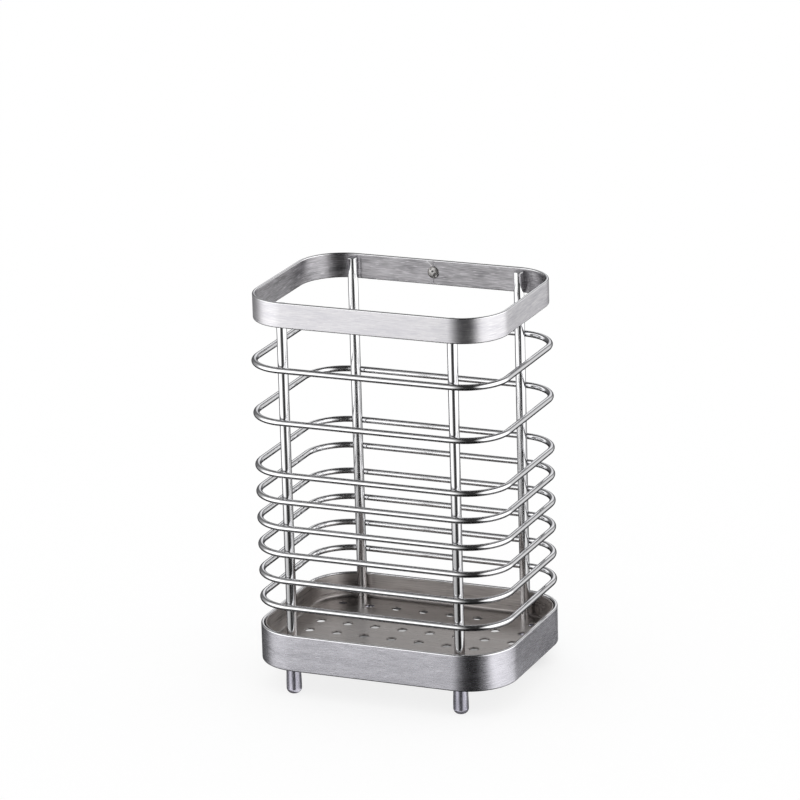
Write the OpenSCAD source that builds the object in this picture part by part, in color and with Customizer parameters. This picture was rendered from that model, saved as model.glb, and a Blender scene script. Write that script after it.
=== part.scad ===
// Wire cage for drying kitchen utensils, standing on four capped feet.
// Two bands bent from flat strip, eight wire rings and four uprights are welded
// into a cage round a perforated pan. Sizes are in millimetres.
// Z = 0 is the surface the feet stand on, and the origin is the middle of the plan.
// The front is towards -Y and the seams of the bands are at the rear, towards +Y.

/* [Overall] */
// Width over the lower band, the widest piece
overall_w = 100; // [80:1:160]
// Depth over the lower band, the deepest piece
overall_d = 75; // [60:1:120]
// Height from the foot caps to the top edge of the top band
overall_h = 150; // [125:1:220]

/* [Bands] */
// Thickness of the strip that both bands are bent from
band_wall = 1.2; // [0.8:0.1:2]
// Height of the top band
top_band_h = 9.5; // [6:0.5:14]
// Height of the lower band
lower_band_h = 14; // [11:0.5:20]
// How far the ends of the top band lie inside those of the lower band
top_band_inset = 0.9; // [0.5:0.1:2]
// Height of the lower edge of the lower band above the surface
foot_clear = 10; // [6:0.5:16]
// Width of the butt seam in each band
seam_gap = 0.15; // [0.1:0.05:0.4]
// How far the seams lie to the left of the middle of the rear side
seam_offset = 1.4; // [0:0.1:5]

/* [Seam weld] */
// Radius of the weld spot that closes the seam of the top band
weld_spot_r = 2.3; // [1.5:0.1:3]
// Height of the weld spot above the inner face of the band
weld_spot_h = 0.5; // [0.3:0.1:0.9]

/* [Rings] */
// Diameter of the ring wire
ring_wire_d = 2.3; // [1.6:0.1:3]
// Bend radius of the ring wire at its centre line
ring_bend_r = 15.5; // [12:0.5:20]
// How far the ends of the rings lie inside those of the lower band
ring_inset = 0.25; // [0.1:0.05:1]
// Height of the lowest ring's centre above the lower band
lowest_ring_gap = 10; // [5:0.5:14]
// Distance from the highest ring's centre up to the top band
highest_ring_gap = 15.9; // [6:0.1:20]

/* [Uprights] */
// Diameter of the uprights
upright_d = 3.8; // [3:0.1:5]
// Clear space between an upright and the flange of the pan
upright_gap = 1.25; // [0.8:0.05:2.5]
// How far the uprights end below the top edge of the top band
upright_drop = 1; // [0.5:0.1:3]
// Chamfer round the upper end of an upright
upright_chamfer = 0.4; // [0.2:0.1:0.8]
// How deep a welded wire or strip sinks into an upright
weld_sink = 0.15; // [0.05:0.05:0.25]

/* [Pan] */
// Thickness of the sheet that the pan is pressed from
pan_sheet = 0.6; // [0.4:0.1:1]
// Height of the underside of the pan above the lower edge of the lower band
pan_rise = 4; // [2:0.5:5]
// Outer bend radius between the floor and the flange of the pan
pan_bend_r = 1.8; // [1.4:0.1:3.2]
// How far the flange of the pan ends below the top edge of the lower band
pan_rim_drop = 0.3; // [0.1:0.1:1]
// How much wider than the lower band's inside the pan's corners are bent
pan_corner_extra = 1; // [0.2:0.1:2]

/* [Drain holes] */
// Diameter of a drain hole
hole_d = 3.4; // [2:0.1:5]
// Distance between holes along the width
hole_pitch_x = 11; // [8:0.5:16]
// Distance between holes along the depth
hole_pitch_y = 10.5; // [8:0.5:16]
// Depth of the rolled edge round the top of a hole
hole_roll = 0.25; // [0.1:0.05:0.35]
// Least flat sheet between a hole and the bend of the pan or an upright
hole_margin = 1.5; // [1:0.1:3]

/* [Foot caps] */
// Wall of a foot cap where it is widest
cap_wall = 0.95; // [0.7:0.05:1.5]
// How much thinner the wall is at the mouth of a cap
cap_taper = 0.3; // [0:0.05:0.4]
// Thickness of the cap under the end of an upright
cap_floor = 1.6; // [1:0.1:2.5]
// Radius round the lower end of a cap
cap_end_r = 2.1; // [1:0.1:2.1]
// Height of the widest stretch of a cap above the surface
cap_wide_h = 4; // [3:0.5:6]
// Clear space between the mouth of a cap and the pan
cap_gap = 0.6; // [0.3:0.1:1.5]

/* [Hidden] */
$fn = 72;

// Overrun of every cut past the faces that it passes through
cut = 1;
// Name and direction of each corner of the plan
CORNERS = [["front_left", -1, -1], ["front_right", 1, -1], ["rear_left", -1, 1], ["rear_right", 1, 1]];

// Wide spacing of the three highest rings, as a share of the narrow spacing of the others
wide_pitch_share = 1.94;
// How far past the start of its bend the top band meets an upright
top_bend_lap = 0.8;
// How far past an upright the bend of the lower band starts
lower_bend_lap = 1.6;

brushed_steel = [0.78, 0.78, 0.8];
polished_steel = [0.86, 0.87, 0.9];
pan_steel = [0.62, 0.6, 0.58];
weld_steel = [0.55, 0.54, 0.53];
clear_plastic = [0.78, 0.76, 0.88, 0.6];

wire_r = ring_wire_d / 2;
upright_r = upright_d / 2;
hole_r = hole_d / 2;

// Half sizes of the lower band and of the pan inside it
lower_x = overall_w / 2;
lower_y = overall_d / 2;
pan_x = lower_x - band_wall;
pan_y = lower_y - band_wall;

// The uprights stand at the ends of the straight front and rear sides of the rings
ring_x = lower_x - ring_inset - wire_r;
upright_x = ring_x - ring_bend_r;
upright_y = pan_y - pan_sheet - upright_gap - upright_r;
upright_face = upright_y + upright_r - weld_sink;
ring_y = upright_face + wire_r;

// The top band lies round the uprights, as the rings do
top_x = lower_x - top_band_inset;
top_y = upright_face + band_wall;
top_bend_r = top_x - upright_x + top_bend_lap;
lower_bend_r = lower_x - upright_x + lower_bend_lap;
pan_corner_r = lower_bend_r - band_wall + pan_corner_extra;

// Heights, from the surface up
lower_top = foot_clear + lower_band_h;
pan_under = foot_clear + pan_rise;
pan_top = pan_under + pan_sheet;
flange_top = lower_top - pan_rim_drop;
top_band_z = overall_h - top_band_h;
upright_top = overall_h - upright_drop;
cap_top = pan_under - cap_gap;
cap_r = upright_r + cap_wall;

// Ring heights: two wide spacings at the top, then five narrow ones
lowest_ring = lower_top + lowest_ring_gap;
highest_ring = top_band_z - highest_ring_gap;
ring_pitch = (highest_ring - lowest_ring) / (2 * wide_pitch_share + 5);
function ring_z(i) = i < 2
    ? highest_ring - i * wide_pitch_share * ring_pitch
    : lowest_ring + (7 - i) * ring_pitch;

// Flat part of the pan's floor, inside its bend
flat_x = pan_x - pan_bend_r;
flat_y = pan_y - pan_bend_r;
flat_r = pan_corner_r - pan_bend_r;

// Signed distance from a point to the edge of the flat floor, negative inside it
function edge_distance(x, y) =
    let (qx = abs(x) - flat_x + flat_r, qy = abs(y) - flat_y + flat_r)
    norm([max(qx, 0), max(qy, 0)]) + min(max(qx, qy), 0) - flat_r;
function upright_distance(x, y) = norm([abs(x) - upright_x, abs(y) - upright_y]);
function hole_fits(x, y) =
    edge_distance(x, y) < -hole_r - hole_margin
    && upright_distance(x, y) > hole_r + upright_r + hole_margin;

// Hole places on one half of an axis, half a pitch off the middle
function half_places(pitch, reach) = [for (p = pitch / 2; p < reach; p = p + pitch) p];

// Solid with a rounded rectangle for its plan, given by its half sizes
module rounded_block(x, y, r, h) {
    linear_extrude(h) {
        square([2 * x, 2 * (y - r)], center = true);
        square([2 * (x - r), 2 * y], center = true);
        for (sx = [-1, 1], sy = [-1, 1])
            translate([sx * (x - r), sy * (y - r)])
                circle(r);
    }
}

// Strip bent to a closed loop, with a butt seam at the rear
module bent_band(x, y, r, h) {
    difference() {
        rounded_block(x, y, r, h);
        translate([0, 0, -cut])
            rounded_block(x - band_wall, y - band_wall, r - band_wall, h + 2 * cut);
        translate([-seam_offset - seam_gap / 2, y - band_wall - cut, -cut])
            cube([seam_gap, band_wall + 2 * cut, h + 2 * cut]);
    }
}

// Children are drawn at the four corners of a plan, turned with the corner
module at_corners(x, y) {
    for (k = [0 : 3])
        translate([(k == 0 || k == 3) ? x : -x, k < 2 ? y : -y, 0])
            rotate([0, 0, 90 * k])
                children();
}

module top_band() {
    color(brushed_steel)
        translate([0, 0, top_band_z])
            bent_band(top_x, top_y, top_bend_r, top_band_h);
}

// Low dome on the inner face of the top band, over its seam
module seam_weld() {
    ball_r = (pow(weld_spot_r, 2) + pow(weld_spot_h, 2)) / (2 * weld_spot_h);
    color(weld_steel)
        translate([-seam_offset, top_y - band_wall, top_band_z + top_band_h / 2])
            rotate([90, 0, 0])
                rotate_extrude()
                    intersection() {
                        translate([0, weld_spot_h - ball_r])
                            circle(ball_r, $fn = 360);
                        square([weld_spot_r, weld_spot_h]);
                    }
}

// Closed loop of round wire with four equal bends
module wire_ring(i) {
    straight_x = ring_x - ring_bend_r;
    straight_y = ring_y - ring_bend_r;
    color(polished_steel)
        translate([0, 0, ring_z(i)]) {
            for (side = [-1, 1]) {
                translate([-straight_x, side * ring_y, 0])
                    rotate([0, 90, 0])
                        cylinder(h = 2 * straight_x, r = wire_r);
                translate([side * ring_x, straight_y, 0])
                    rotate([90, 0, 0])
                        cylinder(h = 2 * straight_y, r = wire_r);
            }
            at_corners(straight_x, straight_y)
                rotate_extrude(angle = 90)
                    translate([ring_bend_r, 0])
                        circle(wire_r);
        }
}

// Round bar from the floor of its foot cap to just below the top edge
module upright(sx, sy) {
    color(polished_steel)
        translate([sx * upright_x, sy * upright_y, 0]) {
            translate([0, 0, cap_floor])
                cylinder(h = upright_top - upright_chamfer - cap_floor, r = upright_r);
            translate([0, 0, upright_top - upright_chamfer])
                cylinder(h = upright_chamfer, r1 = upright_r, r2 = upright_r - upright_chamfer);
        }
}

module lower_band() {
    color(brushed_steel)
        translate([0, 0, foot_clear])
            bent_band(lower_x, lower_y, lower_bend_r, lower_band_h);
}

// Section of the pan's edge: the bend up from the floor and the flange above it
module pan_edge() {
    intersection() {
        difference() {
            translate([0, pan_bend_r])
                circle(pan_bend_r);
            translate([0, pan_bend_r])
                circle(pan_bend_r - pan_sheet);
        }
        square([pan_bend_r, pan_bend_r]);
    }
    translate([pan_bend_r - pan_sheet, pan_bend_r])
        square([pan_sheet, flange_top - pan_under - pan_bend_r]);
}

// Perforated floor with a bent-up flange, pierced by the uprights
module drain_pan() {
    straight_x = flat_x - flat_r;
    straight_y = flat_y - flat_r;
    places_x = half_places(hole_pitch_x, flat_x);
    places_y = half_places(hole_pitch_y, flat_y);
    color(pan_steel)
        translate([0, 0, pan_under])
            difference() {
                union() {
                    rounded_block(flat_x, flat_y, flat_r, pan_sheet);
                    for (side = [0, 180])
                        rotate([0, 0, side]) {
                            translate([flat_x, straight_y, 0])
                                rotate([90, 0, 0])
                                    linear_extrude(2 * straight_y)
                                        pan_edge();
                            translate([-straight_x, flat_y, 0])
                                rotate([90, 0, 90])
                                    linear_extrude(2 * straight_x)
                                        pan_edge();
                        }
                    at_corners(straight_x, straight_y)
                        rotate_extrude(angle = 90)
                            translate([flat_r, 0])
                                pan_edge();
                }
                for (px = places_x, py = places_y)
                    if (hole_fits(px, py))
                        for (sx = [-1, 1], sy = [-1, 1])
                            translate([sx * px, sy * py, 0])
                                drain_hole();
                for (sx = [-1, 1], sy = [-1, 1])
                    translate([sx * upright_x, sy * upright_y, -cut])
                        cylinder(h = pan_bend_r + 2 * cut, r = upright_r);
            }
}

// Cut for one hole in the sheet, widened by its rolled top edge
module drain_hole() {
    translate([0, 0, -cut])
        cylinder(h = pan_sheet + 2 * cut, r = hole_r);
    translate([0, 0, pan_sheet - hole_roll])
        cylinder(h = 2 * hole_roll, r1 = hole_r, r2 = hole_r + 2 * hole_roll);
}

// Clear sleeve with a rounded end, pushed over the lower end of an upright
module foot_cap(sx, sy) {
    color(clear_plastic)
        translate([sx * upright_x, sy * upright_y, 0])
            difference() {
                union() {
                    rotate_extrude()
                        intersection() {
                            union() {
                                square([cap_r - cap_end_r, cap_end_r]);
                                translate([cap_r - cap_end_r, cap_end_r])
                                    circle(cap_end_r);
                            }
                            square([cap_r, cap_end_r]);
                        }
                    translate([0, 0, cap_end_r])
                        cylinder(h = cap_wide_h - cap_end_r, r = cap_r);
                    translate([0, 0, cap_wide_h])
                        cylinder(h = cap_top - cap_wide_h, r1 = cap_r, r2 = cap_r - cap_taper);
                }
                translate([0, 0, cap_floor])
                    cylinder(h = cap_top - cap_floor + cut, r = upright_r);
            }
}

top_band();
seam_weld();
for (i = [0 : 7])
    wire_ring(i);
for (corner = CORNERS) {
    upright(corner[1], corner[2]);
    foot_cap(corner[1], corner[2]);
}
lower_band();
drain_pan();
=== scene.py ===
"""Looks of the utensil drying rack: brushed bands, polished wires, a pressed pan and clear foot caps."""
from math import cos, exp, hypot, pi, radians, sin

import bmesh
import bpy
from mathutils import Matrix, Vector, geometry, noise


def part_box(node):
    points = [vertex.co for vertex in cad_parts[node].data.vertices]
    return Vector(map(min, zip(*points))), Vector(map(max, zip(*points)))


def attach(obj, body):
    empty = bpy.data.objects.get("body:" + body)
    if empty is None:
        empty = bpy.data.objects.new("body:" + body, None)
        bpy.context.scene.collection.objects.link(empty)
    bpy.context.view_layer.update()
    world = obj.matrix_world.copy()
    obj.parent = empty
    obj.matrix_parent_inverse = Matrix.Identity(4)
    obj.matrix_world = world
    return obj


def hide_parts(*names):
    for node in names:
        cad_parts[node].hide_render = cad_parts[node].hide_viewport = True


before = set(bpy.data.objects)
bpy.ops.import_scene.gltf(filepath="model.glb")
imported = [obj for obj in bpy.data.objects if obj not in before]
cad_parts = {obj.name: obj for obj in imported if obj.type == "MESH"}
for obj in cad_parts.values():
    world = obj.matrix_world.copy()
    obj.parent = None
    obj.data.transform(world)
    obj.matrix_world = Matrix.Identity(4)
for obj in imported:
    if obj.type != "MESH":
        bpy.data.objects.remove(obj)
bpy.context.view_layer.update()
MM = 0.001

# Camera: matched to the photograph, in degrees and metres
CAMERA_AZIMUTH = 23.18
CAMERA_ELEVATION = 17.15
CAMERA_ROLL = -1.6
CAMERA_DISTANCE = 1.7124
CAMERA_TARGET = Vector((-1.55, 0, 106.06)) * MM
CAMERA_LENS = 211.04
CAMERA_SENSOR = 36
CAMERA_REACH = 50

# Sizes of the strip, the wire and the caps that the boxes of the nodes don't give
BAND_WALL = 1.2 * MM
BAND_EDGE_R = 0.52 * MM
TOP_BEND_R = 16.8 * MM
LOWER_BEND_R = 18.5 * MM
RING_BEND_R = 15.5 * MM
SEAM_GAP = 0.15 * MM
SEAM_X = -1.4 * MM
UPRIGHT_CHAMFER = 0.4 * MM
CAP_TAPER = 0.3 * MM
CAP_END_R = 2.1 * MM
CAP_WIDE_H = 4 * MM
CAP_FLOOR = 1.65 * MM
CAP_GRIP = 0.05 * MM

# The pan and its holes
PAN_SHEET = 0.6 * MM
PAN_BEND_R = 1.8 * MM
PAN_CORNER_R = 18.3 * MM
EDGE_MARGIN = 0.05 * MM
BAR_R = 1.9 * MM
# Each upright hides this opening in the floor, which stays clear of the bend
BAR_HOLE_R = 1.5 * MM
HOLE_R = 1.7 * MM
HOLE_ROLL = 0.35 * MM
HOLE_PITCH_X = 11 * MM
HOLE_PITCH_Y = 10.5 * MM
HOLE_MARGIN = 1.5 * MM

# Weld spot over the seam: share of its depth that is filled, and the height of its lumps as a share
NUGGET_FILL = 0.85
NUGGET_LUMPS = 0.12
NUGGET_WAVES = 1400
# Its hollows: place across and up from its middle, width and depth
HOLLOWS = [(-0.1 * MM, 0.4 * MM, 0.28 * MM, 0.3 * MM), (0.8 * MM, -0.95 * MM, 0.5 * MM, 0.45 * MM),
           (-0.9 * MM, 1.3 * MM, 0.35 * MM, 0.3 * MM)]

# Welds along the uprights: half sizes, lumps, and heights on the top band as shares of its own
WELD_SIZE = (1.0 * MM, 0.42 * MM, 1.0 * MM)
WELD_LUMPS = 0.12
WELD_WAVES = 900
BAND_WELDS = (0.28, 0.62)

# Numbers of steps in the meshes
ROUND_STEPS = 6
BAR_STEPS = 12
CAP_STEPS = 12
PAN_BEND_STEPS = 12
PAN_RIM_STEPS = 10
HOLE_STEPS = 28
NUGGET_RINGS = 16
NUGGET_TURNS = 64

# A turn of a profile that makes a hard edge
SHARP_TURN = radians(40)
# Upward share of a normal above which a band's face is its rim, and below which a pan's is its wall
RIM_TILT = 0.3
WALL_TILT = 0.35

RINGS = [f"ring_{i}" for i in range(1, 9)]
CORNERS = ["front_left", "front_right", "rear_left", "rear_right"]


def middle(node):
    low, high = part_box(node)
    return (low + high) / 2


def half_size(node):
    low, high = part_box(node)
    return (high - low) / 2


# Mesh building

def arc_angles(steps, turn=90):
    return [radians(turn * k / steps) for k in range(steps + 1)]


def add_piece(name, bm, materials, slot, *nodes):
    """Turns a bmesh into a piece that stands for the given nodes."""
    mesh = bpy.data.meshes.new(name)
    bm.to_mesh(mesh)
    bm.free()
    for material in materials:
        mesh.materials.append(material)
    piece = bpy.data.objects.new(name, mesh)
    bpy.context.scene.collection.objects.link(piece)
    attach(piece, "root")
    if nodes:
        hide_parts(*nodes)
    return piece


def loop_path(half_x, half_y, bend_r, start_x, bend_steps=24, straight_steps=10):
    """Rounded rectangle, once round from start_x on the rear side.

    Gives its points and their outward directions.
    """
    points = []
    outs = []
    corners = [(-1, 1, 90), (-1, -1, 180), (1, -1, 270), (1, 1, 0)]
    stops = [(Vector((start_x, half_y, 0)), Vector((0, 1, 0)))]
    for sx, sy, first in corners:
        centre = Vector((sx * (half_x - bend_r), sy * (half_y - bend_r), 0))
        for k in range(bend_steps + 1):
            angle = radians(first + 90 * k / bend_steps)
            out = Vector((cos(angle), sin(angle), 0))
            stops.append((centre + bend_r * out, out))
    stops.append((Vector((start_x, half_y, 0)), Vector((0, 1, 0))))
    for (a, out_a), (b, out_b) in zip(stops, stops[1:]):
        straight = (out_a - out_b).length < 1e-6
        steps = straight_steps if straight else 1
        for k in range(steps):
            points.append(a.lerp(b, k / steps))
            outs.append(out_a.lerp(out_b, k / steps).normalized())
    points.append(stops[-1][0])
    outs.append(stops[-1][1])
    return points, outs


def sweep(path, section, z, closed, whole=True):
    """Sweeps a section of (outward, up) points along a path.

    U runs along the path and V round the section, in metres.
    """
    points, outs = path
    bm = bmesh.new()
    uv = bm.loops.layers.uv.new("UVMap")
    along = [0.0]
    for a, b in zip(points, points[1:]):
        along.append(along[-1] + (b - a).length)
    around = [0.0]
    for a, b in zip(section, section[1:] + section[:1]):
        around.append(around[-1] + hypot(b[0] - a[0], b[1] - a[1]))
    last = len(points) - 1 if closed else len(points)
    rows = []
    for i in range(last):
        row = [bm.verts.new(points[i] + outs[i] * s[0] + Vector((0, 0, z + s[1]))) for s in section]
        rows.append(row)
    count = len(section)
    for i in range(len(points) - 1):
        row_a = rows[i]
        row_b = rows[(i + 1) % last]
        for j in range(count if whole else count - 1):
            k = (j + 1) % count
            face = bm.faces.new((row_a[j], row_b[j], row_b[k], row_a[k]))
            face.smooth = True
            corners = ((along[i], around[j]), (along[i + 1], around[j]),
                       (along[i + 1], around[j + 1]), (along[i], around[j + 1]))
            for corner, place in zip(face.loops, corners):
                corner[uv].uv = place
    if not closed:
        for end in (rows[0], rows[-1][::-1]):
            for edge in bm.faces.new(end).edges:
                edge.smooth = False
    bmesh.ops.recalc_face_normals(bm, faces=bm.faces)
    return bm


def strip_section(wall, height, edge_r, edge_steps=6, margin=0.04 * MM):
    """Section of the strip: a rectangle with rounded edges.

    A margin beside each edge keeps its faces flat.
    """
    section = []
    corners = [(0, height, 0), (-wall, height, 90), (-wall, 0, 180), (0, 0, 270)]
    for x, y, first in corners:
        centre_x = x - edge_r if x == 0 else x + edge_r
        centre_y = y - edge_r if y == height else y + edge_r
        centre = Vector((centre_x, centre_y))
        for k in range(edge_steps + 1):
            angle = radians(first + 90 * k / edge_steps)
            point = centre + edge_r * Vector((cos(angle), sin(angle)))
            before = Vector((sin(angle), -cos(angle))) * margin
            if k == 0:
                section.append(tuple(point + before))
            section.append(tuple(point))
            if k == edge_steps:
                section.append(tuple(point - before))
    return section


def round_section(r, steps=28):
    return [(r * cos(2 * pi * k / steps), r * sin(2 * pi * k / steps)) for k in range(steps)]


def lathe(profile, centre, steps=48):
    """Turns (radius, height) points about a vertical axis. A radius of 0 closes an end."""
    bm = bmesh.new()
    uv = bm.loops.layers.uv.new("UVMap")
    widest = max(r for r, z in profile)
    along = [0.0]
    for a, b in zip(profile, profile[1:]):
        along.append(along[-1] + hypot(b[0] - a[0], b[1] - a[1]))
    rows = []
    for r, z in profile:
        turns = [2 * pi * k / steps for k in range(steps if r else 1)]
        rows.append([bm.verts.new((centre.x + r * cos(t), centre.y + r * sin(t), z)) for t in turns])
    for i in range(len(rows) - 1):
        for k in range(steps):
            quad = [(i, k), (i, k + 1), (i + 1, k + 1), (i + 1, k)]
            quad = [(row, turn) for row, turn in quad if len(rows[row]) > 1 or turn == k]
            face = bm.faces.new([rows[row][turn % len(rows[row])] for row, turn in quad])
            face.smooth = True
            for corner, (row, turn) in zip(face.loops, quad):
                corner[uv].uv = (along[row], 2 * pi * widest * turn / steps)
    for before, here, after, row in zip(profile, profile[1:], profile[2:], rows[1:]):
        run_in = Vector((here[0] - before[0], here[1] - before[1]))
        run_out = Vector((after[0] - here[0], after[1] - here[1]))
        if run_in.angle(run_out) > SHARP_TURN:
            for a, b in zip(row, row[1:] + row[:1]):
                bm.edges.get((a, b)).smooth = False
    bmesh.ops.recalc_face_normals(bm, faces=bm.faces)
    return bm


# Materials

# Noise: waves per metre along U, V and W, or along X, Y and Z
BRUSH_LINES = (170, 3200, 1)
BRUSH_CLOUDS = (70, 330, 1)
BRUSH_DASHES = (230, 2300, 1)
BRUSH_MARKS = (450, 1500, 1)
POLISH_LINES = (60, 2500, 1)
POLISH_WAVES = (110, 110, 1)
SHEET_GRAIN = (70, 2400, 1)
SHEET_CLOUDS = (60, 240, 1)
WELD_NOISE = (900, 900, 900)
HAZE_NOISE = (500, 500, 500)

# Share of the lines or the grain in the tone. The clouds have the rest
BRUSH_LINE_SHARE = 0.65
SHEET_GRAIN_SHARE = 0.6
# Values of the noise from which and up to which the tone and the dashes rise
TONE_SPREAD = (0.38, 0.62)
DASH_SPREAD = (0.63, 0.72)
# How far lines and dashes each bring the tone towards the light colour
BRUSH_REACH = 0.8
# Depths of the brush marks and of the polish's lines, against those of the lines and the waves there
MARK_DEPTH = 1.8
POLISH_LINE_DEPTH = 0.15

# Relief: strength and distance
BRUSH_RELIEF = (0.5, 0.02 * MM)
SHEET_RELIEF = (0.2, 0.01 * MM)
WELD_RELIEF = (0.5, 0.08 * MM)
HAZE_RELIEF = (0.15, 0.05 * MM)
POLISH_DISTANCE = 0.05 * MM

WELD_ROUGHNESS = (0.16, 0.3)
HAZE_ROUGHNESS = (0.06, 0.15)
BRUSH_STRETCH = 0.9
SHEET_STRETCH = 0.5
# A quarter turn, so that reflections are drawn out across U
STRETCH_TURN = 0.25
GLANCING_TINT = (0.4, 0.4, 0.42)

# One scratch on the inner face of the top band: its ends in X and Z, its width, and the share of
# that over which it is full
SCRATCH = ((-3.9 * MM, 149.4 * MM), (-1.6 * MM, 147.3 * MM))
SCRATCH_WIDTH = 0.26 * MM
SCRATCH_CORE = 0.4
SCRATCH_DEPTH = 3
SCRATCH_COLOUR = (0.85, 0.84, 0.86)


class Graph:
    """Short names for adding and joining shader nodes."""

    def __init__(self, tree):
        self.tree = tree

    def add(self, kind, inputs=None, **settings):
        node = self.tree.nodes.new(kind)
        for key, value in settings.items():
            setattr(node, key, value)
        for key, value in (inputs or {}).items():
            if isinstance(value, bpy.types.NodeSocket):
                self.tree.links.new(value, node.inputs[key])
            else:
                node.inputs[key].default_value = value
        return node

    def math(self, operation, a, b=0.0):
        return self.add("ShaderNodeMath", {0: a, 1: b}, operation=operation).outputs[0]

    def vector(self, operation, a, b=(0, 0, 0), output="Vector"):
        return self.add("ShaderNodeVectorMath", {0: a, 1: b}, operation=operation).outputs[output]

    def noise(self, place, stretch, detail, seed):
        """Noise with a number of waves per metre along each axis."""
        spread = self.add("ShaderNodeMapping", {"Vector": place, "Scale": stretch,
                                                "Location": (seed, seed, seed)})
        cloud = self.add("ShaderNodeTexNoise", {"Vector": spread.outputs["Vector"], "Scale": 1,
                                                "Detail": detail, "Roughness": 0.6})
        return cloud.outputs["Fac"]

    def between(self, value, low, high, start=0.35, end=0.65, kind="LINEAR"):
        """Spreads a value from start to end over low to high."""
        spread = self.add("ShaderNodeMapRange", {"Value": value, "From Min": start, "From Max": end,
                                                 "To Min": low, "To Max": high}, interpolation_type=kind)
        return spread.outputs["Result"]

    def shade(self, value, dark, light):
        """Mixes two colours, each a colour of its own or another node's."""
        colours = [c if isinstance(c, bpy.types.NodeSocket) else (*c, 1) for c in (dark, light)]
        mix = self.add("ShaderNodeMix", {0: value, 6: colours[0], 7: colours[1]}, data_type="RGBA")
        return mix.outputs[2]

    def blend(self, a, b, share):
        """Sum of two values, with the share that the first has in it."""
        return self.math("ADD", self.math("MULTIPLY", a, share), self.math("MULTIPLY", b, 1 - share))

    def link(self, source, target):
        self.tree.links.new(source, target)


def new_material(name):
    material = bpy.data.materials.new(name)
    material.use_nodes = True
    shader = material.node_tree.nodes["Principled BSDF"]
    return material, Graph(material.node_tree), shader


def finish_metal(graph, shader, colour, roughness, height, strength, distance):
    """Joins a metal's colour, roughness and relief to its shader."""
    graph.link(colour, shader.inputs["Base Color"])
    graph.link(roughness, shader.inputs["Roughness"])
    bump = graph.add("ShaderNodeBump", {"Height": height, "Strength": strength, "Distance": distance})
    graph.link(bump.outputs["Normal"], shader.inputs["Normal"])
    shader.inputs["Metallic"].default_value = 1


def stretch_across(graph, shader, strength):
    """Draws reflections out across U, which runs along the grain."""
    tangent = graph.add("ShaderNodeTangent", direction_type="UV_MAP", uv_map="UVMap")
    graph.link(tangent.outputs["Tangent"], shader.inputs["Tangent"])
    shader.inputs["Anisotropic"].default_value = strength
    shader.inputs["Anisotropic Rotation"].default_value = STRETCH_TURN


def near_line(graph, place, a, b, width):
    """1 on a line from a to b, seen along Y, and 0 beyond its width."""
    start, run = Vector((a[0], 0, a[1])), Vector((b[0] - a[0], 0, b[1] - a[1]))
    flat = graph.vector("MULTIPLY", place, (1, 0, 1))
    arm = graph.vector("SUBTRACT", flat, start)
    share = graph.math("DIVIDE", graph.vector("DOT_PRODUCT", arm, run, "Value"), run.length_squared)
    share = graph.between(share, 0, 1, 0, 1)
    nearest = graph.add("ShaderNodeVectorMath", {0: run, "Scale": share}, operation="SCALE")
    gap = graph.vector("DISTANCE", arm, nearest.outputs["Vector"], "Value")
    return graph.between(gap, 1, 0, width * SCRATCH_CORE, width)


def brushed_steel(name, dark, light, rough_low, rough_high, seed, scratch=None):
    """Strip brushed along its length."""
    material, graph, shader = new_material(name)
    place = graph.add("ShaderNodeUVMap", uv_map="UVMap").outputs["UV"]
    lines = graph.noise(place, BRUSH_LINES, 3, seed)
    clouds = graph.noise(place, BRUSH_CLOUDS, 2, seed + 7)
    dashes = graph.noise(place, BRUSH_DASHES, 1, seed + 13)
    dashes = graph.between(dashes, 0, BRUSH_REACH, *DASH_SPREAD)
    marks = graph.noise(place, BRUSH_MARKS, 1, seed + 19)
    tone = graph.blend(lines, clouds, BRUSH_LINE_SHARE)
    tone = graph.math("ADD", graph.between(tone, 0, BRUSH_REACH, *TONE_SPREAD), dashes)
    height = graph.math("ADD", graph.math("ADD", lines, dashes),
                        graph.math("MULTIPLY", marks, MARK_DEPTH))
    colour = graph.shade(graph.between(tone, 0, 1, 0, 1), dark, light)
    if scratch:
        place = graph.add("ShaderNodeTexCoord").outputs["Object"]
        mark = near_line(graph, place, *scratch, SCRATCH_WIDTH)
        mark = graph.math("MULTIPLY", mark, inner_rear(graph))
        height = graph.math("ADD", height, graph.math("MULTIPLY", mark, SCRATCH_DEPTH))
        colour = graph.shade(mark, colour, SCRATCH_COLOUR)
    rough = graph.between(tone, rough_low, rough_high, 0, 1)
    finish_metal(graph, shader, colour, rough, height, *BRUSH_RELIEF)
    stretch_across(graph, shader, BRUSH_STRETCH)
    return material


def inner_rear(graph):
    """1 on the inner face of the top band's rear side."""
    place = graph.add("ShaderNodeTexCoord").outputs["Object"]
    depth = graph.add("ShaderNodeSeparateXYZ", {0: place}).outputs["Y"]
    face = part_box("top_band")[1].y - BAND_WALL
    near = graph.add("ShaderNodeMath", {0: depth, 1: face, 2: BAND_WALL / 3}, operation="COMPARE")
    return near.outputs[0]


def polished_steel(name, dark, light, rough_low, rough_high, relief, seed):
    """Electropolished metal, with faint lines along it."""
    material, graph, shader = new_material(name)
    place = graph.add("ShaderNodeUVMap", uv_map="UVMap").outputs["UV"]
    lines = graph.noise(place, POLISH_LINES, 2, seed)
    waves = graph.noise(place, POLISH_WAVES, 1, seed + 3)
    height = graph.math("ADD", waves, graph.math("MULTIPLY", lines, POLISH_LINE_DEPTH))
    finish_metal(graph, shader, graph.shade(graph.between(lines, 0, 1), dark, light),
                 graph.between(lines, rough_low, rough_high), height, relief, POLISH_DISTANCE)
    shader.inputs["Specular Tint"].default_value = (*GLANCING_TINT, 1)
    return material


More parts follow.
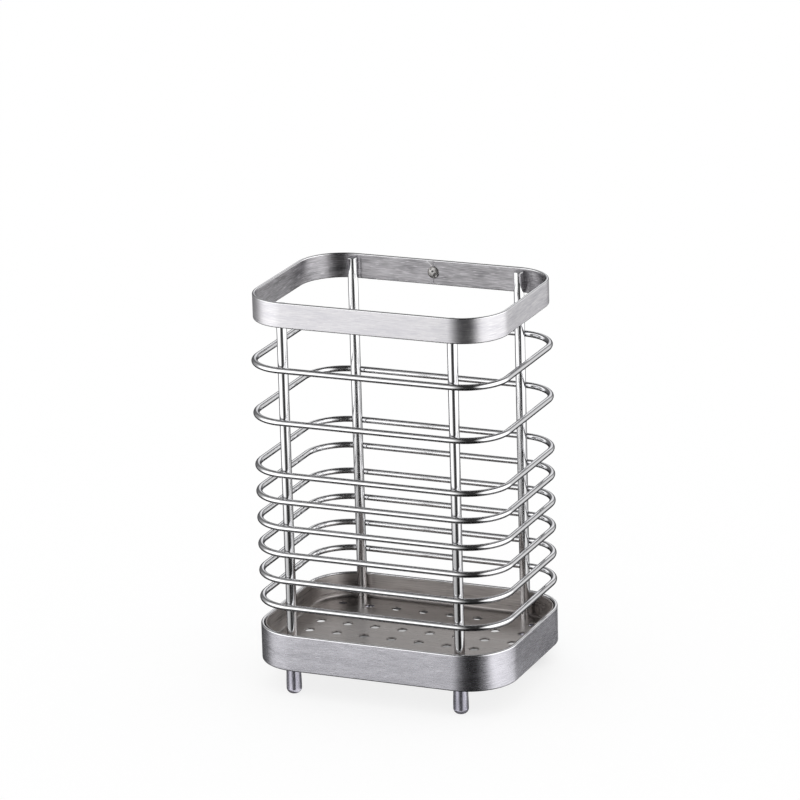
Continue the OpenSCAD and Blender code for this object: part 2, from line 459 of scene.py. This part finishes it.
def sheet_steel(name, dark, light, rough_low, rough_high, seed):
    """Rolled sheet: faint grain along U, cloudy across wider patches."""
    material, graph, shader = new_material(name)
    place = graph.add("ShaderNodeUVMap", uv_map="UVMap").outputs["UV"]
    grain = graph.noise(place, SHEET_GRAIN, 3, seed)
    clouds = graph.noise(place, SHEET_CLOUDS, 2, seed + 5)
    tone = graph.blend(grain, clouds, SHEET_GRAIN_SHARE)
    colour = graph.shade(graph.between(tone, 0, 1, *TONE_SPREAD), dark, light)
    rough = graph.between(tone, rough_low, rough_high, *TONE_SPREAD)
    finish_metal(graph, shader, colour, rough, grain, *SHEET_RELIEF)
    stretch_across(graph, shader, SHEET_STRETCH)
    return material


def weld_metal(name, dark, light, seed):
    """Melted and set again: lumpy, and darker where it was hottest."""
    material, graph, shader = new_material(name)
    place = graph.add("ShaderNodeTexCoord").outputs["Object"]
    lumps = graph.noise(place, WELD_NOISE, 3, seed)
    finish_metal(graph, shader, graph.shade(graph.between(lumps, 0, 1), dark, light),
                 graph.between(lumps, *WELD_ROUGHNESS), lumps, *WELD_RELIEF)
    return material


def clear_plastic(name, dark, light, seed):
    """Soft clear plastic with a faint tint and haze."""
    material, graph, shader = new_material(name)
    place = graph.add("ShaderNodeTexCoord").outputs["Object"]
    haze = graph.noise(place, HAZE_NOISE, 2, seed)
    graph.link(graph.shade(graph.between(haze, 0, 1), dark, light), shader.inputs["Base Color"])
    graph.link(graph.between(haze, *HAZE_ROUGHNESS), shader.inputs["Roughness"])
    strength, distance = HAZE_RELIEF
    ripple = graph.add("ShaderNodeBump", {"Height": haze, "Strength": strength, "Distance": distance})
    graph.link(ripple.outputs["Normal"], shader.inputs["Normal"])
    shader.inputs["Transmission Weight"].default_value = 0.91
    shader.inputs["IOR"].default_value = 1.46
    return material


# Each has a dark and a light colour, its least and most roughness, and a seed
TOP_STEEL = brushed_steel("top_band_steel", (0.68, 0.67, 0.71), (1.0, 0.985, 1.0), 0.34, 0.45, 1)
LOWER_STEEL = brushed_steel("lower_band_steel", (0.73, 0.72, 0.775), (0.945, 0.93, 0.995),
                            0.23, 0.32, 20)
# Inner faces of both bands: the same brushed steel painted darker as shade, with one scratch, which is
# wear
INNER_SHADE_AND_SCRATCH_STEEL = brushed_steel("inner_band_shade_and_scratch_steel", (0.28, 0.273, 0.287), (0.82, 0.8, 0.83),
                            0.34, 0.45, 35, SCRATCH)
RIM_STEEL = polished_steel("rim_steel", (0.9, 0.9, 0.91), (0.98, 0.98, 0.99), 0.08, 0.13, 0.015, 30)
WIRE_STEEL = polished_steel("wire_steel", (0.86, 0.86, 0.87), (0.94, 0.94, 0.95), 0.07, 0.12, 0.04, 40)
# The pan's floor and wall are one sheet; the floor is painted darker than the wall, as shade
PAN_FLOOR_SHADED_STEEL = sheet_steel("pan_steel", (0.3, 0.28, 0.272), (0.46, 0.43, 0.415), 0.26, 0.36, 60)
PAN_WALL_STEEL = sheet_steel("pan_wall_steel", (0.43, 0.405, 0.395), (0.67, 0.635, 0.615),
                             0.26, 0.36, 70)
# Sheared walls of the holes: rougher, as real cut metal, and painted near black as the shade inside the
# holes
CUT_AND_SHADED_STEEL = sheet_steel("cut_steel_painted_shade", (0.1, 0.094, 0.09), (0.2, 0.19, 0.18), 0.4, 0.55, 65)
WELD_STEEL = weld_metal("weld_steel", (0.14, 0.13, 0.125), (0.62, 0.61, 0.6), 80)
CLEAR_PLASTIC = clear_plastic("clear_plastic", (0.62, 0.605, 0.7), (0.74, 0.725, 0.81), 90)


# Pieces

def band(name, bend_r, material):
    """Bent strip, open at its seam, with rolled edges."""
    size = half_size(name)
    low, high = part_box(name)
    points, outs = loop_path(size.x, size.y, bend_r, SEAM_X)
    points[0] = points[0] - Vector((SEAM_GAP / 2, 0, 0))
    points[-1] = points[-1] + Vector((SEAM_GAP / 2, 0, 0))
    section = strip_section(BAND_WALL, 2 * size.z, BAND_EDGE_R)
    bm = sweep((points, outs), section, low.z, False)
    # Rim faces take the rim steel; faces that look inwards take the inner steel, painted darker as shade
    for face in bm.faces:
        if face.smooth and abs(face.normal.z) > RIM_TILT:
            face.material_index = 1
        elif face.normal.xy.dot(face.calc_center_median().xy) < 0:
            face.material_index = 2
    return add_piece(name + "_strip", bm, [material, RIM_STEEL, INNER_SHADE_AND_SCRATCH_STEEL], "band_steel", name)


def ring(name):
    """Closed loop of round wire."""
    size = half_size(name)
    wire_r = size.z
    path = loop_path(size.x - wire_r, size.y - wire_r, RING_BEND_R, 0)
    bm = sweep(path, round_section(wire_r), middle(name).z, True)
    return add_piece(name + "_wire", bm, [WIRE_STEEL], "wire_steel", name)


def upright(corner):
    """Round bar with a rounded upper end."""
    node = "upright_" + corner
    low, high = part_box(node)
    r = half_size(node).x
    shaft = high.z - UPRIGHT_CHAMFER - low.z
    profile = [(0, low.z), (r - CAP_GRIP, low.z), (r, low.z + CAP_GRIP)]
    profile += [(r, low.z + shaft * k / BAR_STEPS) for k in range(1, BAR_STEPS)]
    profile += [(r - UPRIGHT_CHAMFER * (1 - cos(a)), high.z - UPRIGHT_CHAMFER * (1 - sin(a)))
                for a in arc_angles(ROUND_STEPS)]
    profile += [(r - UPRIGHT_CHAMFER - CAP_GRIP, high.z), (0, high.z)]
    return add_piece(node + "_bar", lathe(profile, middle(node)), [WIRE_STEEL], "wire_steel", node)


def foot_cap(corner):
    """Clear sleeve with a rounded end. Its bore grips the bar all round."""
    node = "foot_cap_" + corner
    low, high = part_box(node)
    r = half_size(node).x
    bore = half_size("upright_" + corner).x - CAP_GRIP
    profile = [(0, low.z)]
    profile += [(r - CAP_END_R * (1 - sin(a)), low.z + CAP_END_R * (1 - cos(a)))
                for a in arc_angles(CAP_STEPS)]
    profile += [(r, low.z + CAP_WIDE_H), (r - CAP_TAPER, high.z), (bore, high.z)]
    profile += [(bore, low.z + CAP_FLOOR), (0, low.z + CAP_FLOOR)]
    bm = lathe(profile, middle(node), 64)
    return add_piece(node + "_sleeve", bm, [CLEAR_PLASTIC], "clear_plastic", node)


def edge_distance(x, y, half_x, half_y, r):
    """Signed distance to the edge of a rounded rectangle, negative inside it."""
    qx = abs(x) - half_x + r
    qy = abs(y) - half_y + r
    return hypot(max(qx, 0), max(qy, 0)) + min(max(qx, qy), 0) - r


def half_places(pitch, reach):
    """Hole places on one half of an axis, half a pitch off the middle."""
    return [pitch * (k + 0.5) for k in range(int(reach / pitch + 0.5))]


def drain_holes(flat_x, flat_y, flat_r, bar):
    """Middles of the drain holes, clear of the pan's bend and of the uprights."""
    places = []
    for x in half_places(HOLE_PITCH_X, flat_x):
        for y in half_places(HOLE_PITCH_Y, flat_y):
            inside = edge_distance(x, y, flat_x, flat_y, flat_r) < -HOLE_R - HOLE_MARGIN
            if inside and hypot(x - bar.x, y - bar.y) > HOLE_R + BAR_R + HOLE_MARGIN:
                places += [(sx * x, sy * y) for sx in (-1, 1) for sy in (-1, 1)]
    return places


def circle(place, r):
    turns = [2 * pi * k / HOLE_STEPS for k in range(HOLE_STEPS)]
    return [Vector((place[0] + r * cos(t), place[1] + r * sin(t))) for t in turns]


def sheet_face(bm, outline, circles, z):
    """Flat sheet at one height, with round openings given as (middle, radius)."""
    uv = bm.loops.layers.uv.verify()
    loops = [outline] + [circle(place, r) for place, r in circles]
    spots = [point / MM for loop in loops for point in loop]
    edges = []
    for loop in loops:
        first = len(edges)
        edges += [(first + k, first + (k + 1) % len(loop)) for k in range(len(loop))]
    inside_outline = 1
    flat = geometry.delaunay_2d_cdt(spots, edges, [list(range(len(outline)))], inside_outline, 1e-6)
    verts = [bm.verts.new((spot.x * MM, spot.y * MM, z)) for spot in flat[0]]
    for corners in flat[2]:
        centre = sum((flat[0][k] for k in corners), Vector((0, 0))) / len(corners) * MM
        if all(hypot(centre.x - x, centre.y - y) > r for (x, y), r in circles):
            for corner in bm.faces.new([verts[k] for k in corners]).loops:
                corner[uv].uv = corner.vert.co.xy


def hole_wall(bm, place, profile):
    """Wall of one round opening, from (radius, height) points. Its last row is sheared metal, rougher as
    cut metal is, and painted near black as the shade inside the hole.
    """
    uv = bm.loops.layers.uv.verify()
    rows = [[bm.verts.new((point.x, point.y, z)) for point in circle(place, r)] for r, z in profile]
    for i, (a, b) in enumerate(zip(rows, rows[1:])):
        for k in range(HOLE_STEPS):
            m = (k + 1) % HOLE_STEPS
            face = bm.faces.new((a[k], a[m], b[m], b[k]))
            face.smooth = True
            face.material_index = 1 if i == len(rows) - 2 else 0
            for corner in face.loops:
                corner[uv].uv = corner.vert.co.xy


def pan():
    """Pressed sheet: a perforated floor, a bend and a flange with a rounded rim."""
    low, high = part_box("drain_pan")
    size = half_size("drain_pan")
    bar = middle("upright_rear_right")
    rise = high.z - low.z
    bend = arc_angles(PAN_BEND_STEPS)
    rim = arc_angles(PAN_RIM_STEPS, 180)
    inner_r = PAN_BEND_R - PAN_SHEET
    rim_r = PAN_SHEET / 2
    section = [(-PAN_BEND_R - EDGE_MARGIN, PAN_SHEET)]
    section += [(inner_r * sin(a) - PAN_BEND_R, PAN_BEND_R - inner_r * cos(a)) for a in bend]
    section += [(-rim_r - rim_r * cos(a), rise - rim_r + rim_r * sin(a)) for a in rim]
    section += [(PAN_BEND_R * sin(a) - PAN_BEND_R, PAN_BEND_R - PAN_BEND_R * cos(a))
                for a in reversed(bend)]
    section += [(-PAN_BEND_R - EDGE_MARGIN, 0)]
    path = loop_path(size.x, size.y, PAN_CORNER_R, 0)
    bm = sweep(path, section, low.z, True, whole=False)
    # Upright faces take the wall's tone, the others the floor's, which is painted darker as shade
    for face in bm.faces:
        face.material_index = 2 if abs(face.normal.z) < WALL_TILT else 0
    inward = PAN_BEND_R + EDGE_MARGIN
    outline = [(point - inward * out).xy for point, out in zip(*path)][:-1]
    holes = drain_holes(size.x - PAN_BEND_R, size.y - PAN_BEND_R, PAN_CORNER_R - PAN_BEND_R, bar)
    bars = [(middle("upright_" + corner).xy, BAR_HOLE_R) for corner in CORNERS]
    mouth = HOLE_R + HOLE_ROLL
    sheet_top = low.z + PAN_SHEET
    sheet_face(bm, outline, [(place, mouth + EDGE_MARGIN) for place in holes] + bars, sheet_top)
    sheet_face(bm, outline, [(place, HOLE_R) for place in holes] + bars, low.z)
    profile = [(mouth + EDGE_MARGIN, sheet_top)]
    profile += [(mouth - HOLE_ROLL * sin(a), sheet_top - HOLE_ROLL * (1 - cos(a)))
                for a in arc_angles(ROUND_STEPS)]
    profile += [(HOLE_R, low.z)]
    for place in holes:
        hole_wall(bm, place, profile)
    for place, r in bars:
        hole_wall(bm, place, [(r, sheet_top), (r, low.z)])
    bmesh.ops.remove_doubles(bm, verts=bm.verts, dist=0.001 * MM)
    bmesh.ops.recalc_face_normals(bm, faces=bm.faces)
    materials = [PAN_FLOOR_SHADED_STEEL, CUT_AND_SHADED_STEEL, PAN_WALL_STEEL]
    return add_piece("drain_pan_sheet", bm, materials, "pan_steel", "drain_pan")


def nugget():
    """Weld spot over the seam: a low dome with a pit, a crater and small lumps."""
    low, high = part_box("seam_weld")
    centre = middle("seam_weld")
    r = half_size("seam_weld").x
    dome = high.y - low.y
    bm = bmesh.new()
    rows = [[bm.verts.new((centre.x, 0, centre.z))]]
    turns = [2 * pi * k / NUGGET_TURNS for k in range(NUGGET_TURNS)]
    for i in range(1, NUGGET_RINGS + 1):
        reach = r * i / NUGGET_RINGS
        spots = [(centre.x + reach * cos(t), 0, centre.z + reach * sin(t)) for t in turns]
        rows.append([bm.verts.new(spot) for spot in spots])
    for vert in bm.verts:
        across, up = vert.co.x - centre.x, vert.co.z - centre.z
        share = min(hypot(across, up) / r, 1)
        height = NUGGET_FILL * dome * (1 - share ** 4)
        for hollow_x, hollow_z, width, depth in HOLLOWS:
            gap = hypot(across - hollow_x, up - hollow_z)
            height -= depth * exp(-(gap / width) ** 2)
        height += NUGGET_LUMPS * dome * noise.noise(vert.co * NUGGET_WAVES) * (1 - share)
        vert.co.y = high.y - max(height, 0) if share < 1 else high.y
    for k in range(NUGGET_TURNS):
        m = (k + 1) % NUGGET_TURNS
        bm.faces.new((rows[0][0], rows[1][k], rows[1][m]))
        for a, b in zip(rows[1:], rows[2:]):
            bm.faces.new((a[k], b[k], b[m], a[m]))
    for face in bm.faces:
        face.smooth = True
    bm.faces.new(rows[-1][::-1])
    bmesh.ops.recalc_face_normals(bm, faces=bm.faces)
    return add_piece("seam_weld_nugget", bm, [WELD_STEEL], "weld_steel", "seam_weld")


def contact_welds(corner):
    """Small lens-shaped welds where one upright meets the rings and the top band."""
    side_y = 1 if "rear" in corner else -1
    bar = middle("upright_" + corner)
    contact_y = bar.y + side_y * (half_size("upright_" + corner).x - CAP_GRIP)
    low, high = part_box("top_band")
    heights = [middle(name).z for name in RINGS]
    heights += [low.z + share * (high.z - low.z) for share in BAND_WELDS]
    bm = bmesh.new()
    for z in heights:
        place = Matrix.Translation((bar.x, contact_y, z)) @ Matrix.Diagonal((*WELD_SIZE, 1))
        made = bmesh.ops.create_icosphere(bm, subdivisions=3, radius=1, matrix=place)
        for vert in made["verts"]:
            lump = noise.noise(vert.co * WELD_WAVES) * WELD_LUMPS
            vert.co = vert.co + (vert.co - Vector((bar.x, contact_y, z))) * lump
    for face in bm.faces:
        face.smooth = True
    return add_piece("welds_" + corner, bm, [WELD_STEEL], "weld_steel")


band("top_band", TOP_BEND_R, TOP_STEEL)
band("lower_band", LOWER_BEND_R, LOWER_STEEL)
pan()
nugget()
for name in RINGS:
    ring(name)
for corner in CORNERS:
    upright(corner)
    foot_cap(corner)
    contact_welds(corner)


# Floor, surroundings and camera

FLOOR_HALF = 12
# Share of the floor that is matt and takes shadow: in most places, and in the patch below the pan
FLOOR_SHADE = 0.18
UNDER_SHADE = 0.9
# That patch, a painted shadow: how light its matt colour is painted, its middle, its reach, and where it
# ends as shares of that
PAINTED_SHADOW_LEVEL = 0.65
UNDER_MIDDLE = Vector((-14, 32, 0)) * MM
UNDER_REACH = Vector((50, 30, 50)) * MM
UNDER_EDGE = (0.65, 1.3)
# What the metal sees of the floor: a sheet with sheen, which ends between two distances in metres
TABLE_SHEEN = 0.84
TABLE_ROUGHNESS = 0.1
TABLE_MIDDLE = (0, 0.1, 0)
TABLE_INNER = 0.24
TABLE_OUTER = 0.42
# Its sheen rises with the Fresnel share, between two shares of TABLE_SHEEN. The second one belongs to
# TABLE_GLANCE, which is the Fresnel share of a ray 17 degrees above the floor
TABLE_IOR = 1.3
TABLE_GLANCE = 0.166
TABLE_RISE = (0.12, 1.3)
# Share of the sheet that is open to a ray that has passed through a cap
CAP_CLEAR = 0.5
# Parts of the table whose sheen is painted darker, as shade seen in the metal: azimuth, half width,
# softness, share of the sheen that is left
TABLE_SHADES = [(41, 20, 9, 0.03), (95, 28, 14, 0.75), (146, 44, 24, 0.3), (-15, 40, 25, 0.35),
                (-115, 62, 28, 0.34), (-168, 32, 10, 0.26)]

# Soft boxes round the rack: azimuth from the front towards +X, elevation, angular radius, softness
# and strength
SOFT_BOXES = [(-50, 4, 43, 19, 1.56), (-57, 4, 63, 9, 0.38), (2, 4, 14, 8, 0.2),
              (100, 4, 52, 14, 1.46), (135, 4, 38, 22, 0.84), (-150, 4, 50, 22, 0.22),
              (-166, 20, 14, 5, 1.2), (155, 4, 10, 4, 0.9)]
# Stretch of the heights, which makes the boxes lower than they are wide
HEIGHT_STRETCH = 1.2
ROOM_LEVEL = 0.03
WHITE = (1, 1, 1, 1)


def mirrored_rays(graph, path):
    """1 for a ray that has left polished metal, also after it has passed through a cap."""
    glossy = graph.math("GREATER_THAN", path.outputs["Glossy Depth"], 0.5)
    passing = graph.math("MAXIMUM", path.outputs["Is Glossy Ray"], path.outputs["Is Transmission Ray"])
    return graph.math("MULTIPLY", glossy, passing)


def floor():
    mesh = bpy.data.meshes.new("floor")
    h = FLOOR_HALF
    mesh.from_pydata([(-h, -h, 0), (h, -h, 0), (h, h, 0), (-h, h, 0)], [], [(0, 1, 2, 3)])
    plane = bpy.data.objects.new("floor", mesh)
    bpy.context.scene.collection.objects.link(plane)
    material = bpy.data.materials.new("floor")
    material.use_nodes = True
    tree = material.node_tree
    tree.nodes.clear()
    graph = Graph(tree)
    place = graph.add("ShaderNodeTexCoord").outputs["Object"]
    # White to the eye, with the faint soft shadow that the rack throws, and a painted shadow below the
    # pan
    arm = graph.vector("DIVIDE", graph.vector("SUBTRACT", place, UNDER_MIDDLE), UNDER_REACH)
    shadow_patch = graph.vector("LENGTH", arm, output="Value")
    shaded = graph.between(shadow_patch, UNDER_SHADE, FLOOR_SHADE, *UNDER_EDGE, "SMOOTHSTEP")
    painted_shadow_colour = graph.between(shadow_patch, PAINTED_SHADOW_LEVEL, 1, *UNDER_EDGE, "SMOOTHSTEP")
    matt = graph.add("ShaderNodeBsdfDiffuse", {"Color": painted_shadow_colour})
    glow = graph.add("ShaderNodeEmission", {"Color": WHITE, "Strength": 1})
    pale = graph.add("ShaderNodeMixShader", {0: shaded, 1: glow.outputs[0], 2: matt.outputs[0]})
    # To the metal it is a sheet with some sheen near the rack, and open to the surroundings further out
    reach = graph.vector("DISTANCE", place, TABLE_MIDDLE, "Value")
    path = graph.add("ShaderNodeLightPath")
    through_cap = graph.math("GREATER_THAN", path.outputs["Transmission Depth"], 0.5)
    share = graph.between(reach, 0, 1, TABLE_INNER, TABLE_OUTER, "SMOOTHSTEP")
    share = graph.math("MAXIMUM", share, graph.math("MULTIPLY", through_cap, CAP_CLEAR))
    outward = graph.vector("NORMALIZE", graph.vector("MULTIPLY", place, (1, 1, 0)))
    level = TABLE_SHEEN
    # Parts of the sheen are painted darker, as shade
    for azimuth, half_width, softness, left in TABLE_SHADES:
        towards = graph.vector("DOT_PRODUCT", outward, direction(azimuth, 0), "Value")
        painted_shade = graph.between(graph.math("ARCCOSINE", towards), left, 1, radians(half_width - softness),
                             radians(half_width + softness), "SMOOTHSTEP")
        level = graph.math("MULTIPLY", painted_shade, level)
    glance = graph.add("ShaderNodeFresnel", {"IOR": TABLE_IOR}).outputs[0]
    level = graph.math("MULTIPLY", level, graph.between(glance, *TABLE_RISE, 0, TABLE_GLANCE))
    sheen = graph.add("ShaderNodeBsdfGlossy", {"Color": level, "Roughness": TABLE_ROUGHNESS})
    clear = graph.add("ShaderNodeBsdfTransparent")
    mirrored = graph.add("ShaderNodeMixShader", {0: share, 1: sheen.outputs[0], 2: clear.outputs[0]})
    both = graph.add("ShaderNodeMixShader", {0: mirrored_rays(graph, path), 1: pale.outputs[0],
                                             2: mirrored.outputs[0]})
    graph.add("ShaderNodeOutputMaterial", {"Surface": both.outputs[0]})
    mesh.materials.append(material)


def direction(azimuth, elevation):
    a, e = radians(azimuth), radians(elevation)
    return Vector((sin(a) * cos(e), -cos(a) * cos(e), sin(e)))


def surroundings():
    """Even white light for the background and matt surfaces, and soft boxes in the dark for metal."""
    world = bpy.data.worlds.new("studio")
    bpy.context.scene.world = world
    world.use_nodes = True
    world.cycles.sampling_method = "NONE"
    world.node_tree.nodes.clear()
    graph = Graph(world.node_tree)
    sky = graph.add("ShaderNodeTexCoord").outputs["Generated"]
    place = graph.vector("NORMALIZE", graph.vector("MULTIPLY", sky, (1, 1, HEIGHT_STRETCH)))
    total = ROOM_LEVEL
    for azimuth, elevation, radius, softness, strength in SOFT_BOXES:
        centre = direction(azimuth, elevation)
        centre.z *= HEIGHT_STRETCH
        towards = graph.vector("DOT_PRODUCT", place, centre.normalized(), "Value")
        lit = graph.between(graph.math("ARCCOSINE", towards), strength, 0, radians(radius - softness),
                            radians(radius + softness), "SMOOTHSTEP")
        total = graph.math("MAXIMUM", lit, total)
    studio = graph.add("ShaderNodeBackground", {"Color": WHITE, "Strength": total})
    white = graph.add("ShaderNodeBackground", {"Color": WHITE, "Strength": 1})
    path = graph.add("ShaderNodeLightPath")
    result = graph.add("ShaderNodeMixShader", {0: mirrored_rays(graph, path), 1: white.outputs[0],
                                               2: studio.outputs[0]})
    graph.add("ShaderNodeOutputWorld", {"Surface": result.outputs[0]})


def camera():
    back = direction(CAMERA_AZIMUTH, CAMERA_ELEVATION)
    level = Vector((cos(radians(CAMERA_AZIMUTH)), sin(radians(CAMERA_AZIMUTH)), 0))
    upward = back.cross(level)
    roll = radians(CAMERA_ROLL)
    right = cos(roll) * level + sin(roll) * upward
    up = cos(roll) * upward - sin(roll) * level
    data = bpy.data.cameras.new("camera")
    data.lens = CAMERA_LENS
    data.sensor_width = CAMERA_SENSOR
    data.clip_end = CAMERA_REACH
    eye = bpy.data.objects.new("camera", data)
    turn = Matrix((right, up, back)).transposed().to_4x4()
    eye.matrix_world = Matrix.Translation(CAMERA_TARGET + CAMERA_DISTANCE * back) @ turn
    bpy.context.scene.collection.objects.link(eye)
    bpy.context.scene.camera = eye


floor()
surroundings()
camera()
bpy.context.scene.view_settings.view_transform = "Standard"
